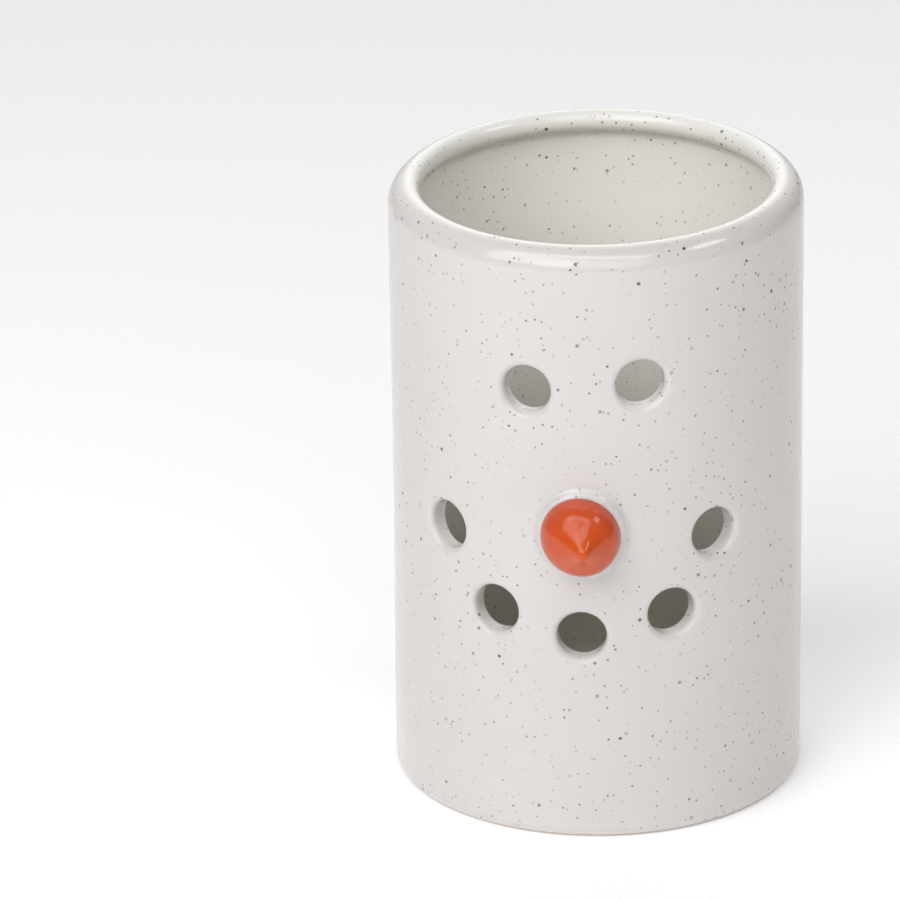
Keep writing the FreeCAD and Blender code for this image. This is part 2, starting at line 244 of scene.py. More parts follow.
# %% Lathe tree
def lathe_tree():
    tree = bpy.data.node_groups.new("lathe", "GeometryNodeTree")
    for name, kind in (
        ("Outline", "NodeSocketObject"),
        ("Segments", "NodeSocketInt"),
        ("Flutes", "NodeSocketInt"),
        ("Flute Depth", "NodeSocketFloat"),
        ("Flute Top", "NodeSocketFloat"),
        ("Flute Bottom", "NodeSocketFloat"),
        ("Finish", "NodeSocketMaterial"),
    ):
        tree.interface.new_socket(name, in_out="INPUT", socket_type=kind)
    tree.interface.new_socket("Mesh", in_out="OUTPUT", socket_type="NodeSocketGeometry")
    given = add(tree, "NodeGroupInput").outputs

    outline = add(tree, "GeometryNodeObjectInfo", {"Object": given["Outline"]})
    size = add(
        tree, "GeometryNodeAttributeDomainSize", {0: outline.outputs["Geometry"]}, component="MESH"
    )
    columns = reckon(tree, "ADD", given["Segments"], 1.0)
    grid = add(
        tree,
        "GeometryNodeMeshGrid",
        {
            "Size X": 1.0,
            "Size Y": 1.0,
            "Vertices X": columns.outputs[0],
            "Vertices Y": size.outputs["Point Count"],
        },
    )
    place = add(tree, "GeometryNodeInputPosition")
    across = add(tree, "ShaderNodeSeparateXYZ", {0: place.outputs[0]})
    share = reckon(tree, "ADD", across.outputs["X"], 0.5)
    angle = reckon(tree, "MULTIPLY", share.outputs[0], math.tau)
    last = reckon(tree, "SUBTRACT", size.outputs["Point Count"], 1.0)
    up = reckon(tree, "ADD", across.outputs["Y"], 0.5)
    raw_row = reckon(tree, "MULTIPLY", up.outputs[0], last.outputs[0])
    row = reckon(tree, "ROUND", raw_row.outputs[0])

    numbered = add(
        tree,
        "GeometryNodeStoreNamedAttribute",
        {"Geometry": grid.outputs["Mesh"], "Name": "row", "Value": row.outputs[0]},
        data_type="FLOAT",
        domain="POINT",
    )
    corner = add(
        tree,
        "GeometryNodeSampleIndex",
        {
            "Geometry": outline.outputs["Geometry"],
            "Value": place.outputs[0],
            "Index": row.outputs[0],
        },
        data_type="FLOAT_VECTOR",
        domain="POINT",
    )
    point = add(tree, "ShaderNodeSeparateXYZ", {0: corner.outputs[0]})

    ripple_angle = reckon(tree, "MULTIPLY", angle.outputs[0], given["Flutes"])
    ripple = reckon(tree, "SINE", ripple_angle.outputs[0])
    inward = reckon(tree, "MULTIPLY_ADD", ripple.outputs[0], 0.5, -0.5)
    fade_in = map_range(
        tree, point.outputs["Z"], given["Flute Bottom"], given["Flute Top"], 0.0, 1.0
    )
    hump = reckon(tree, "MULTIPLY", fade_in.outputs[0], math.pi)
    fade = reckon(tree, "SINE", hump.outputs[0])
    pressed = reckon(tree, "MULTIPLY", inward.outputs[0], fade.outputs[0])
    radius = reckon(
        tree, "MULTIPLY_ADD", pressed.outputs[0], given["Flute Depth"], point.outputs["X"]
    )
    cosine = reckon(tree, "COSINE", angle.outputs[0])
    sine = reckon(tree, "SINE", angle.outputs[0])
    x = reckon(tree, "MULTIPLY", cosine.outputs[0], radius.outputs[0])
    y = reckon(tree, "MULTIPLY", sine.outputs[0], radius.outputs[0])
    turned = add(
        tree, "ShaderNodeCombineXYZ", {0: x.outputs[0], 1: y.outputs[0], 2: point.outputs["Z"]}
    )
    shaped = add(
        tree,
        "GeometryNodeSetPosition",
        {"Geometry": numbered.outputs[0], "Position": turned.outputs[0]},
    )
    closed = add(
        tree, "GeometryNodeMergeByDistance", {"Geometry": shaped.outputs[0], "Distance": 0.001 * MM}
    )
    real = add(tree, "GeometryNodeRealizeInstances", {0: closed.outputs[0]})
    painted = add(
        tree,
        "GeometryNodeSetMaterial",
        {"Geometry": real.outputs[0], "Material": given["Finish"]},
    )
    add(tree, "NodeGroupOutput", {0: painted.outputs[0]})
    return tree


LATHE = lathe_tree()


def turn_on_lathe(name, outline, finish, segments, flutes=0, depth=0.0, bottom=0.0, top=1.0):
    """Turns an outline of (radius, height) points round Z into a closed mesh."""
    points = [(r, 0.0, z) for r, z in outline]
    chain = [(k, k + 1) for k in range(len(points) - 1)]
    drawn = new_object(name + "_outline", points, edges=chain)
    made = grow(
        name,
        LATHE,
        Outline=drawn,
        Segments=segments,
        Flutes=flutes,
        Flute_Depth=depth,
        Flute_Bottom=bottom,
        Flute_Top=top,
        Finish=finish,
    )
    remove(drawn)
    return made


print("lathe tree:", len(LATHE.nodes), "nodes")

# %% [markdown]
# ## Finish: white speckled glaze
# The pot is stoneware under a thick, glossy, milky glaze. Iron grains in the clay bleed up through
# it as brown-black dots, from a faint grey pinprick to about a millimetre. Two sizes of grain are
# drawn with 3-D Voronoi cells: a dot shows where the surface cuts a grain, so dots differ in size
# by themselves. The cell sizes are worked out from how many dots a square centimetre has. A dark
# brown line on the back edge of each hole is painted shade; an attribute on the mesh says where.
# Inside the pot, the colour holds painted light and shade.

# %% Speckled glaze
def new_material(name):
    material = bpy.data.materials.new(name)
    material.use_nodes = True
    tree = material.node_tree
    tree.nodes.clear()
    surface = add(tree, "ShaderNodeBsdfPrincipled")
    add(tree, "ShaderNodeOutputMaterial", {"Surface": surface.outputs[0]})
    return material, tree, surface


def iron_grains(tree, where, cell, radius, clusters, strength):
    """How dark each point is from one size of iron grain: 0 is clear glaze."""
    cells = add(
        tree,
        "ShaderNodeTexVoronoi",
        {"Vector": where, "Scale": 1 / cell, "Randomness": 1.0},
        voronoi_dimensions="3D",
        feature="F1",
    )
    edge = add(
        tree,
        "ShaderNodeMapRange",
        {
            "Value": cells.outputs["Distance"],
            "From Min": radius / cell,
            "From Max": 0.55 * radius / cell,
            "To Min": 0.0,
            "To Max": 1.0,
        },
        interpolation_type="SMOOTHSTEP",
    )
    tint = add(tree, "ShaderNodeSeparateColor", {0: cells.outputs["Color"]})
    depth = add(
        tree,
        "ShaderNodeMapRange",
        {"Value": tint.outputs[0], "From Min": 0.0, "From Max": 1.0, "To Min": 0.25, "To Max": 1.0},
    )
    fainter = reckon(tree, "MULTIPLY", edge.outputs[0], depth.outputs[0])
    grouped = reckon(tree, "MULTIPLY", fainter.outputs[0], clusters)
    return reckon(tree, "MULTIPLY", grouped.outputs[0], strength).outputs[0]


def speckled_glaze():
    material, tree, surface = new_material("milk_white_speckled_stoneware_glaze")
    surface.inputs["Roughness"].default_value = 0.07
    surface.inputs["IOR"].default_value = 1.52
    place = add(tree, "ShaderNodeTexCoord").outputs["Object"]

    # Grains are a little ragged, so the place they are looked up at is shaken by a tenth of a
    # grain.
    ragged = add(
        tree,
        "ShaderNodeTexNoise",
        {"Vector": place, "Scale": 1 / (0.5 * MM), "Detail": 1.0},
        noise_dimensions="3D",
    )
    shake = reckon_vector(tree, "SUBTRACT", ragged.outputs["Color"], (0.5, 0.5, 0.5))
    small_shake = add(
        tree, "ShaderNodeVectorMath", {0: shake.outputs[0], "Scale": 0.22 * MM}, operation="SCALE"
    )
    shaken = reckon_vector(tree, "ADD", place, small_shake.outputs[0]).outputs[0]

    # Grains gather in drifts some 15 mm wide.
    drifts = wave_noise(tree, place, 15 * MM, 1.0)
    clusters = map_range(tree, drifts.outputs[0], 0.36, 0.56, 0.35, 1.0).outputs[0]
    fine = iron_grains(tree, shaken, 1.9 * MM, 0.33 * MM, clusters, 0.9)
    coarse = iron_grains(tree, shaken, 4.4 * MM, 0.52 * MM, clusters, 1.0)
    dots = reckon(tree, "MAXIMUM", fine, coarse).outputs[0]

    # Milky glaze, a touch deeper where it pooled. Inside, the colour is painted light and shade: it
    # is whiter and warmer near the top, as painted light bouncing round the well, and greyer low
    # down.
    pooling = wave_noise(tree, place, 26 * MM, 2.0)
    sprayed = mix_colours(tree, pooling.outputs[0], colour("#DEDAD8"), colour("#D9D4D1"))
    across = reckon_vector(tree, "MULTIPLY", place, (1, 1, 0))
    radius = reckon_vector(tree, "LENGTH", across.outputs[0])
    on_inside_wall = map_range(
        tree, radius.outputs["Value"], INNER + 1.6 * MM, INNER + 0.2 * MM, 0.0, 1.0
    )
    # The lower wall is given a greyer colour. It stands in for shade that these lights don't give,
    # and makes the well look deep through the holes. The glaze itself is one colour.
    height = add(tree, "ShaderNodeSeparateXYZ", {0: place})
    painted_shade_low_down = map_range(tree, height.outputs["Z"], 78 * MM, 20 * MM, 0.0, 1.0)
    painted_well_light_and_shade = mix_colours(tree, painted_shade_low_down.outputs[0], colour("#F4F2EC"), colour("#D2CCC2"))
    glaze_with_painted_well_light = mix_colours(tree, on_inside_wall.outputs[0], sprayed.outputs[2], painted_well_light_and_shade.outputs[2])
    # A dark brown line of painted shade on the back edge of each hole.
    edge_shade_mask = add(tree, "ShaderNodeAttribute", attribute_name="glaze_break")
    with_painted_edge_shade = mix_colours(tree, edge_shade_mask.outputs["Fac"], glaze_with_painted_well_light.outputs[2], colour("#6E6256"))
    speckled = mix_colours(tree, dots, with_painted_edge_shade.outputs[2], colour("#2E2622"))

    # The foot is wiped clean of glaze before firing, so the bare ring is buff and rough.
    bare = map_range(tree, height.outputs["Z"], 0.35 * MM, 0.25 * MM, 0.0, 1.0)
    clay = mix_colours(tree, bare.outputs[0], speckled.outputs[2], colour("#C9B8A2"))
    rough = map_range(tree, bare.outputs[0], 0.0, 1.0, 0.07, 0.85)
    tree.links.new(clay.outputs[2], surface.inputs["Base Color"])
    tree.links.new(rough.outputs[0], surface.inputs["Roughness"])

    # A fired glaze is never dead flat: slow waves a couple of centimetres long bend its
    # reflections.
    waves = wave_noise(tree, place, 12 * MM, 2.0)
    add_bump(tree, surface, waves.outputs[0], 0.35, 0.25 * MM)
    return material


GLAZE = speckled_glaze()
print("glaze:", len(GLAZE.node_tree.nodes), "nodes")

# %% [markdown]
# ## The pot, on the lathe
# The outline runs from the middle of the underside, round the foot, up the wall, over the rolled
# rim, down the inside and back to the axis on the floor. In the band that holds the face its rows
# are as close as its columns, about a millimetre, because the holes are laid out in that grid.

# %% Pot outline
COLUMNS = 288
CELL = math.tau * OUTER / COLUMNS
FACE_LOW = 37 * MM
FACE_ROWS = 78
FACE_HIGH = FACE_LOW + FACE_ROWS * CELL


def pot_outline():
    """The outline, and the rows where the outside face band starts and the inside one ends."""
    bead_x, bead_z = MOUTH + BEAD, HEIGHT - BEAD
    across = bead_x - (OUTER - SHOULDER)
    rise = math.sqrt((SHOULDER - BEAD) ** 2 - across**2)
    shoulder_z = bead_z - rise
    lean = math.degrees(math.atan2(rise, across))
    blend_x = INNER - BEAD_BLEND
    drop = math.sqrt((BEAD + BEAD_BLEND) ** 2 - (bead_x - blend_x) ** 2)
    blend_z = bead_z - drop
    turn = math.degrees(math.atan2(drop, bead_x - blend_x))

    line = [(0.0, FOOT_RECESS)]
    line += steps(line[-1], (FOOT_INNER - FOOT_RECESS, FOOT_RECESS), 6)
    line += steps(line[-1], (FOOT_INNER, 0.0), 3)
    line += steps(line[-1], (OUTER - FOOT_EDGE, 0.0), 3)
    line += arc((OUTER - FOOT_EDGE, FOOT_EDGE), FOOT_EDGE, -90, 0, 8)
    line += steps(line[-1], (OUTER, FACE_LOW), 14)
    outside = len(line) - 1
    line += steps(line[-1], (OUTER, FACE_HIGH), FACE_ROWS)
    line += steps(line[-1], (OUTER, shoulder_z), 8)
    line += arc((OUTER - SHOULDER, shoulder_z), SHOULDER, 0, lean, 8)
    line += arc((bead_x, bead_z), BEAD, lean, 180 + turn, 24)
    line += arc((blend_x, blend_z), BEAD_BLEND, turn, 0, 10)
    line += steps(line[-1], (INNER, FACE_HIGH), 6)
    line += steps(line[-1], (INNER, FACE_LOW), FACE_ROWS)
    inside = len(line) - 1
    corner = (INNER - FLOOR_CORNER, FLOOR_LEVEL + FLOOR_CORNER)
    line += steps(line[-1], (INNER, FLOOR_LEVEL + FLOOR_CORNER), 10)
    line += arc(corner, FLOOR_CORNER, 0, -90, 8)
    line += steps(line[-1], (0.0, FLOOR_LEVEL), 8)
    return line, outside, inside


outline, OUTSIDE_ROW, INSIDE_ROW = pot_outline()
vessel = turn_on_lathe("pot", outline, GLAZE, COLUMNS)
print("pot outline:", len(outline), "points")

# %% [markdown]
# ## Punching the holes
# The holes are punched while the clay is soft. Cutting a mesh leaves ragged slivers that spoil the
# gloss, so the grid is re-laid round each hole, as a weaver parts the threads: square rings of
# grid points near the hole become circles, and the points inside are taken out. The same move with
# nothing taken out raises the round boss that the nose sits on.

# %% Laying the grid round a hole
HOLE_CELLS = 6
PATCH_CELLS = 8
BOSS_CELLS = 12


def ring_place(di, dj, ring):
    """The angle round the hole that the square ring's point (di, dj) gets: even steps all round."""
    a, b = di / ring, dj / ring
    angle = np.where(a >= 1, b * math.pi / 4, 0.0)
    angle = np.where((b >= 1) & (a < 1), math.pi / 2 - a * math.pi / 4, angle)
    angle = np.where((a <= -1) & (b < 1), math.pi - b * math.pi / 4, angle)
    return np.where((b <= -1) & (a < 1) & (a > -1), 1.5 * math.pi + a * math.pi / 4, angle)


class Skin:
    """One side of the wall's face band: which vertex is at each column and row of its grid."""

    def __init__(self, points, rows, radius, first_row, sign):
        self.radius, self.sign = radius, sign
        self.turn = math.tau / COLUMNS
        self.rise = CELL
        azimuth = np.arctan2(points[:, 0], -points[:, 1])
        self.column = np.rint(azimuth / self.turn).astype(int)
        self.level = (sign * (np.rint(rows) - first_row)).astype(int)
        on_band = (self.level >= 0) & (self.level <= FACE_ROWS)
        self.on_band = on_band & (np.abs(np.hypot(points[:, 0], points[:, 1]) - radius) < 1e-5)

    def near(self, azimuth, height, reach):
        """The vertices of the square patch round a place, and their steps from its middle."""
        middle_column = round(azimuth / self.turn)
        middle_level = round((height - FACE_LOW) / self.rise)
        di = (self.column - middle_column + COLUMNS // 2) % COLUMNS - COLUMNS // 2
        dj = self.level - middle_level
        ring = np.maximum(np.abs(di), np.abs(dj))
        chosen = np.flatnonzero(self.on_band & (ring <= reach))
        off = (
            middle_column * self.turn - azimuth,
            FACE_LOW + middle_level * self.rise - height,
        )
        return chosen, di[chosen], dj[chosen], ring[chosen], off


def punch(points, skin, azimuth, height, opening):
    """Lays the grid round one hole and returns the vertices to take out."""
    chosen, di, dj, ring, off = skin.near(azimuth, height, PATCH_CELLS)
    laid = ring >= HOLE_CELLS
    vertices, di_l, dj_l, ring_l = chosen[laid], di[laid], dj[laid], ring[laid]
    angle = ring_place(di_l, dj_l, ring_l)
    outward = (ring_l - HOLE_CELLS) / (PATCH_CELLS - HOLE_CELLS)
    square_turn = di_l / ring_l * PATCH_CELLS * skin.turn + off[0]
    square_rise = dj_l / ring_l * PATCH_CELLS * skin.rise + off[1]
    round_turn = np.arcsin(opening * np.cos(angle) / skin.radius)
    round_rise = opening * np.sin(angle)
    around = azimuth + (1 - outward) * round_turn + outward * square_turn
    level = height + (1 - outward) * round_rise + outward * square_rise
    moved = ring_l < PATCH_CELLS
    points[vertices[moved], 0] = skin.radius * np.sin(around[moved])
    points[vertices[moved], 1] = -skin.radius * np.cos(around[moved])
    points[vertices[moved], 2] = level[moved]
    return chosen[ring < HOLE_CELLS]


# %% [markdown]
# The boss is a low pad of the pot's own clay. Its root runs into the wall in a hollow curve, wide
# enough to catch a line of light above the nose, and its face is flat, where the nose was stuck on.

# %% Raising the boss
BOSS_FACE = 9.45 * MM
BOSS_ROOT = 11.0 * MM
BOSS_FILLET = 1.6 * MM


def boss_height_at(distance):
    """The share of the boss's height at a distance from its middle: flat, then a hollow fillet."""
    into = np.clip(BOSS_ROOT - distance, 0, BOSS_ROOT - BOSS_FACE)
    lift = BOSS_FILLET - np.sqrt(BOSS_FILLET**2 - into**2)
    return lift / lift.max()


def raise_boss(points, skin):
    chosen, di, dj, ring, off = skin.near(0.0, NOSE_LEVEL, BOSS_CELLS)
    inside = (ring < BOSS_CELLS) & (ring > 0)
    vertices, di_b, dj_b, ring_b = chosen[inside], di[inside], dj[inside], ring[inside]
    angle = ring_place(di_b, dj_b, ring_b)
    # Rings 5 to 11 are spent on the root's curve, and the ones inside them on the flat face.
    radii = np.interp(
        np.arange(BOSS_CELLS),
        [0, 3, 4, BOSS_CELLS - 1],
        [0, 8 * MM, BOSS_FACE, BOSS_ROOT],
    )
    distance = radii[ring_b]
    x = distance * np.cos(angle)
    wall = -np.sqrt(OUTER**2 - x**2)
    lift = boss_height_at(distance)
    points[vertices, 0] = x
    points[vertices, 1] = wall + lift * (NOSE_BACK - wall)
    points[vertices, 2] = NOSE_LEVEL + distance * np.sin(angle)
    middle = chosen[ring == 0]
    points[middle] = (0.0, NOSE_BACK, NOSE_LEVEL)


# %% Punch the wall
def pierce_pot(pot):
    points = positions(pot)
    rows = np.empty(len(points), np.float32)
    pot.data.attributes["row"].data.foreach_get("value", rows)
    outside = Skin(points, rows, OUTER, OUTSIDE_ROW, 1)
    inside = Skin(points, rows, INNER, INSIDE_ROW, -1)
    taken = []
    for angle, level in HOLES.values():
        place = (math.radians(angle), level * MM)
        taken += list(punch(points, outside, *place, BORE + MOUTH_ROUND))
        taken += list(punch(points, inside, *place, BORE + BACK_ROUND))
    raise_boss(points, outside)
    set_positions(pot, points)
    bm = bmesh.new()
    bm.from_mesh(pot.data)
    bm.verts.ensure_lookup_table()
    bmesh.ops.delete(bm, geom=[bm.verts[i] for i in taken], context="VERTS")
    bm.to_mesh(pot.data)
    bm.free()
    return len(taken)


print("vertices taken out for the holes:", pierce_pot(vessel))

# %% [markdown]
# ## Lining the holes
# All seven holes were made by one punch, so their linings are one shape, repeated. A tree makes
# it: a grid wrapped into a tube, whose rows round over the outer edge, run through the wall and
# round over the back edge. The lip follows the curve of the wall. A second tree puts a copy at
# each hole, joins them to the pot and welds the seams.

# %% Lining tree
LINING_ROWS = 16


def lining_tree():
    tree = bpy.data.node_groups.new("hole_lining", "GeometryNodeTree")
    for name in ("Bore", "Outer Wall", "Inner Wall", "Mouth Round", "Back Round"):
        tree.interface.new_socket(name, in_out="INPUT", socket_type="NodeSocketFloat")
    tree.interface.new_socket("Mesh", in_out="OUTPUT", socket_type="NodeSocketGeometry")
    given = add(tree, "NodeGroupInput").outputs
    grid = add(
        tree,
        "GeometryNodeMeshGrid",
        {
            "Size X": 1.0,
            "Size Y": 1.0,
            "Vertices X": 8 * HOLE_CELLS + 1,
            "Vertices Y": LINING_ROWS,
        },
    )
    place = add(
        tree, "ShaderNodeSeparateXYZ", {0: add(tree, "GeometryNodeInputPosition").outputs[0]}
    )
    round_share = reckon(tree, "ADD", place.outputs["X"], 0.5)
    angle = reckon(tree, "MULTIPLY", round_share.outputs[0], math.tau)
    # A third of the rows rounds the outer lip, a third lines the bore, and a third rounds the back.
    from_end = reckon(tree, "ABSOLUTE", place.outputs["Y"])
    inwards = reckon(tree, "SUBTRACT", 0.5, from_end.outputs[0])
    lip_share = reckon(tree, "MULTIPLY", inwards.outputs[0], 3.0, use_clamp=True)
    lip_turn = reckon(tree, "MULTIPLY", lip_share.outputs[0], math.pi / 2)
    at_back = reckon(tree, "MULTIPLY_ADD", place.outputs["Y"], 3.0, 0.5, use_clamp=True)
    lip = add(
        tree,
        "ShaderNodeMix",
        {0: at_back.outputs[0], 2: given["Mouth Round"], 3: given["Back Round"]},
        data_type="FLOAT",
    )
    wall = add(
        tree,
        "ShaderNodeMix",
        {0: at_back.outputs[0], 2: given["Outer Wall"], 3: given["Inner Wall"]},
        data_type="FLOAT",
    )
    side = reckon(tree, "MULTIPLY_ADD", at_back.outputs[0], 2.0, -1.0)
    lip_sine = reckon(tree, "SINE", lip_turn.outputs[0])
    lip_cosine = reckon(tree, "COSINE", lip_turn.outputs[0])
    spread = reckon(tree, "SUBTRACT", 1.0, lip_sine.outputs[0])
    distance = reckon(tree, "MULTIPLY_ADD", lip.outputs[0], spread.outputs[0], given["Bore"])
    sunk = reckon(tree, "SUBTRACT", 1.0, lip_cosine.outputs[0])
    sunk_by = reckon(tree, "MULTIPLY", lip.outputs[0], sunk.outputs[0])
    cosine = reckon(tree, "COSINE", angle.outputs[0])
    sine = reckon(tree, "SINE", angle.outputs[0])
    x = reckon(tree, "MULTIPLY", cosine.outputs[0], distance.outputs[0])
    z = reckon(tree, "MULTIPLY", sine.outputs[0], distance.outputs[0])
    wall_squared = reckon(tree, "MULTIPLY", wall.outputs[0], wall.outputs[0])
    x_squared = reckon(tree, "MULTIPLY", x.outputs[0], x.outputs[0])
    gap = reckon(tree, "SUBTRACT", wall_squared.outputs[0], x_squared.outputs[0])
    reach = reckon(tree, "SQRT", gap.outputs[0])
    out = reckon(tree, "MULTIPLY_ADD", sunk_by.outputs[0], side.outputs[0], reach.outputs[0])
    forward = reckon(tree, "MULTIPLY", out.outputs[0], -1.0)
    spot = add(
        tree, "ShaderNodeCombineXYZ", {0: x.outputs[0], 1: forward.outputs[0], 2: z.outputs[0]}
    )
    shaped = add(
        tree,
        "GeometryNodeSetPosition",
        {"Geometry": grid.outputs["Mesh"], "Position": spot.outputs[0]},
    )
    # Where the dark line of painted shade goes: only on the back edge of the hole.
    near_back = map_range(tree, place.outputs["Y"], 0.07, 0.17, 0.0, 1.0)
    marked = add(
        tree,
        "GeometryNodeStoreNamedAttribute",
        {"Geometry": shaped.outputs[0], "Name": "glaze_break", "Value": near_back.outputs[0]},
        data_type="FLOAT",
        domain="POINT",
    )
    add(tree, "NodeGroupOutput", {0: marked.outputs[0]})
    return tree


LINING = lining_tree()
print("lining tree:", len(LINING.nodes), "nodes")

# %% Copy the lining to each hole
def perforation_tree():
    tree = bpy.data.node_groups.new("perforations", "GeometryNodeTree")
    for name, kind in (
        ("Pot", "NodeSocketGeometry"),
        ("Hole Middles", "NodeSocketObject"),
        ("Bore", "NodeSocketFloat"),
        ("Finish", "NodeSocketMaterial"),
    ):
        tree.interface.new_socket(name, in_out="INPUT", socket_type=kind)
    tree.interface.new_socket("Mesh", in_out="OUTPUT", socket_type="NodeSocketGeometry")
    given = add(tree, "NodeGroupInput").outputs
    one = add(
        tree,
        "GeometryNodeGroup",
        node_tree=LINING,
    )
    tree.links.new(given["Bore"], one.inputs["Bore"])
    for name, value in (
        ("Outer Wall", OUTER),
        ("Inner Wall", INNER),
        ("Mouth Round", MOUTH_ROUND),
        ("Back Round", BACK_ROUND),
    ):
        one.inputs[name].default_value = value
    middles = add(tree, "GeometryNodeObjectInfo", {"Object": given["Hole Middles"]})
    turn = add(tree, "GeometryNodeInputNamedAttribute", {"Name": "turn"}, data_type="FLOAT")
    spin = add(tree, "ShaderNodeCombineXYZ", {2: turn.outputs[0]})
    copies = add(
        tree,
        "GeometryNodeInstanceOnPoints",
        {
            "Points": middles.outputs["Geometry"],
            "Instance": one.outputs[0],
            "Rotation": spin.outputs[0],
        },
    )
    real = add(tree, "GeometryNodeRealizeInstances", {0: copies.outputs[0]})
    joined = add(tree, "GeometryNodeJoinGeometry")
    tree.links.new(real.outputs[0], joined.inputs[0])
    tree.links.new(given["Pot"], joined.inputs[0])
    welded = add(
        tree, "GeometryNodeMergeByDistance", {"Geometry": joined.outputs[0], "Distance": 0.02 * MM}
    )
    painted = add(
        tree,
        "GeometryNodeSetMaterial",
        {"Geometry": welded.outputs[0], "Material": given["Finish"]},
    )
    add(tree, "NodeGroupOutput", {0: painted.outputs[0]})
    return tree


middles = new_object("hole_middles", [(0, 0, level * MM) for _, level in HOLES.values()])
middles.data.attributes.new("turn", "FLOAT", "POINT").data.foreach_set(
    "value", [math.radians(angle) for angle, _ in HOLES.values()]
)
vessel = grow(
    "stoneware_vessel",
    perforation_tree(),
    base=vessel,
    Hole_Middles=middles,
    Bore=BORE,
    Finish=GLAZE,
)
remove(middles)

# %% [markdown]
# ## The potter's hand
# Nothing cast is quite true. The rim of this pot is two millimetres lower at the front than at the
# back, because the clay settled in the kiln, and the wall draws in by a few tenths of a millimetre
# half-way up. Both are slow moves of the whole mesh, and both keep the pot within its size.

# %% Settle the pot
RIM_TO_RIGHT = 0.0082
RIM_TO_BACK = 0.0245
RIM_DROP = 1.3 * MM
SLUMP_START = 110 * MM
WAIST = 0.3 * MM


def settle(points):
    """Tilts the rim, fading out at the eyes' tops, and draws the left wall in at half height."""
    share = np.clip((points[:, 2] - SLUMP_START) / (HEIGHT - SLUMP_START), 0, 1)
    slump = share**2 * (3 - 2 * share)
    lean = RIM_TO_RIGHT * points[:, 0] + RIM_TO_BACK * points[:, 1] - RIM_DROP
    azimuth = np.arctan2(points[:, 0], -points[:, 1])
    half_way = np.sin(math.pi * np.clip(points[:, 2] / HEIGHT, 0, 1)) ** 2
    draw = WAIST * half_way * (0.5 - 0.5 * np.sin(azimuth))
    scale = 1 - draw / OUTER
    settled = points.copy()
    settled[:, 0] *= scale
    settled[:, 1] *= scale
    settled[:, 2] += lean * slump
    return settled


set_positions(vessel, settle(positions(vessel)))
face_outwards(vessel)
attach(vessel, "lantern")
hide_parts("vessel")

# %% [markdown]
# ## Finish: orange glaze
# The nose is dipped or brushed with a strong orange glaze over the white one. It is thick in the
# middle and thin towards the edges, where the colour turns pinker, and a little softer in its
# shine than the pot.

# %% Orange glaze
def orange_glaze():
    material, tree, surface = new_material("brushed_orange_gloss_glaze")
    surface.inputs["Roughness"].default_value = 0.15
    surface.inputs["IOR"].default_value = 1.5
    surface.inputs["Specular IOR Level"].default_value = 0.4
    place = add(tree, "ShaderNodeTexCoord").outputs["Object"]
    along = add(tree, "ShaderNodeSeparateXYZ", {0: place})
    to_tip = map_range(tree, along.outputs["Y"], NOSE_BACK, nose_low.y, 0.0, 1.0)
    strokes = wave_noise(tree, place, 4 * MM, 3.0)
    mottled = reckon(tree, "MULTIPLY_ADD", strokes.outputs[0], 0.35, to_tip.outputs[0])
    ramp = add(tree, "ShaderNodeValToRGB", {0: mottled.outputs[0]})
    ramp.color_ramp.elements[0].position = 0.12
    ramp.color_ramp.elements[0].color = colour("#C6523C")
    ramp.color_ramp.elements[1].position = 1.05
    ramp.color_ramp.elements[1].color = colour("#D2551F")
    tree.links.new(ramp.outputs[0], surface.inputs["Base Color"])
    add_bump(tree, surface, strokes.outputs[0], 0.3, 0.15 * MM)
    return material


ORANGE = orange_glaze()

# %% [markdown]
# ## The carrot nose
# A pinch of clay, rolled into a kiss shape: a full bulb, a slightly hollow flank and a blunt tip.
# The outline has an arc for each, worked out so that they meet without a corner. The lathe turns
# it upright, and it is then laid down to point forwards and nudged a little out of true.

# %% Nose outline
NOSE_BULB = 8.1 * MM
NOSE_FLANK = 30.0 * MM
NOSE_TIP = 2.0 * MM


def nose_outline():
    bulb = Vector((NOSE_BASE - NOSE_BULB, 0))
    tip = Vector((0, NOSE_LENGTH - NOSE_TIP))
    between = tip - bulb
    far, near = NOSE_BULB + NOSE_FLANK, NOSE_TIP + NOSE_FLANK
    along = (between.length_squared + far**2 - near**2) / (2 * between.length)
    aside = math.sqrt(far**2 - along**2)
    unit = between.normalized()
    flank = bulb + unit * along + Vector((unit.y, -unit.x)) * aside
    bulb_end = math.degrees(math.atan2(flank.y - bulb.y, flank.x - bulb.x))
    tip_start = math.degrees(math.atan2(flank.y - tip.y, flank.x - tip.x))
    line = [(0.0, 0.0)]
    line += steps(line[-1], (NOSE_BASE - 0.3 * MM, 0.0), 6)
    line += [(NOSE_BASE, 0.25 * MM)]
    line += arc(bulb, NOSE_BULB, 2, bulb_end, 22)
    line += arc(flank, NOSE_FLANK, bulb_end + 180, tip_start + 180, 12)
    line += arc(tip, NOSE_TIP, tip_start, 90, 12)
    return line


NOSE_LEAN = 0.12


def lay_nose(points):
    """From upright on the lathe to pointing forwards from the boss, a little out of true."""
    laid = np.empty_like(points)
    angle = np.arctan2(points[:, 1], points[:, 0])
    out = points[:, 2] / NOSE_LENGTH
    wobble = 1 - 0.012 * (1 + np.sin(2 * angle + 0.6)) - 0.01 * (1 + np.sin(3 * angle + 2.0)) * out
    laid[:, 0] = points[:, 0] * wobble + NOSE_LEAN * points[:, 2] * out
    laid[:, 2] = points[:, 1] * wobble + NOSE_LEVEL
    laid[:, 1] = NOSE_BACK - points[:, 2]
    return laid


nose = turn_on_lathe("carrot", nose_outline(), ORANGE, 96)
nose.name = "clay_carrot_nose"
set_positions(nose, lay_nose(positions(nose)))
face_outwards(nose)
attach(nose, "lantern")
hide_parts("carrot_nose")

# %% [markdown]
# ## The tealight cup
# The candle is a standard flat tealight. Its cup is drawn from thin aluminium foil: the wall is
# fluted by the die, the bottom has a pressed ring that stiffens it, and the top edge is rolled
# outwards so that it doesn't cut. It is bright metal with fine upright drawing lines.

